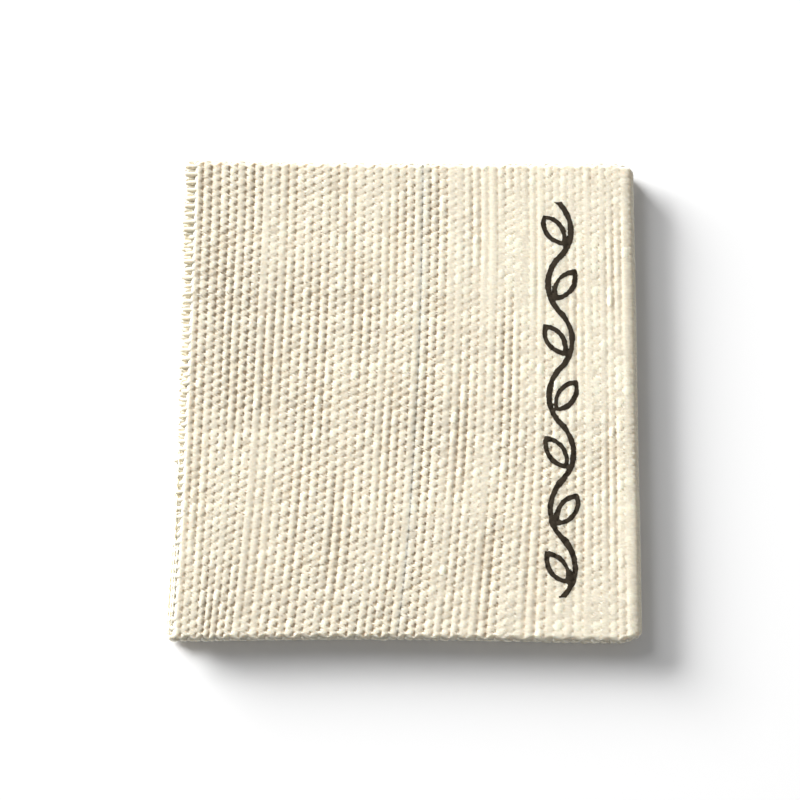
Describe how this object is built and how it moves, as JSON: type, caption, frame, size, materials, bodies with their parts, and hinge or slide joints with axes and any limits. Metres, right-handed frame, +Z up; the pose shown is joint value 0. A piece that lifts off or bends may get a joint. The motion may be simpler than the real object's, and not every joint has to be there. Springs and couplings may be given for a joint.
{
  "type": "folded sew-in fabric label",
  "caption": "Rectangular strip of natural cotton rep tape folded once into a near-square sew-in label, cut ends together and a printed vine beside the fold.",
  "frame": {"origin": "under the middle of the label's box, on the surface that it lies on", "axes": "+Z up through the cloth, +X towards the fold, +Y along the fold towards one selvedge"},
  "size_m": [0.0236, 0.025, 0.0012],
  "materials": {
    "cotton_tape": "unbleached cotton rep, matt, slightly hairy",
    "cut_warp_ends": "loose cut ends of the cotton warp yarns",
    "printing_ink": "matt brown-black textile ink soaked into the yarns"
  },
  "bodies": {
    "back": {"back_leaf": "cotton_tape", "back_cut_ends": "cut_warp_ends"},
    "turn": {"fold_turn": "cotton_tape"},
    "front": {"front_leaf": "cotton_tape", "front_cut_ends": "cut_warp_ends", "printed_vine": "printing_ink"}
  },
  "joints": [
    {"name": "fold_open", "type": "hinge", "parent": "turn", "child": "front", "pos_m": [0.01148, 0, 0.00088], "axis": [0, 1, 0], "range_deg": [0, 90]},
    {"name": "fold_roll", "type": "hinge", "parent": "back", "child": "turn", "pos_m": [0.01148, 0, 0.00032], "axis": [0, 1, 0], "range_deg": [0, 90]}
  ],
  "couplings": [
    {"joint": "fold_roll", "follows": "fold_open", "ratio": 1}
  ]
}
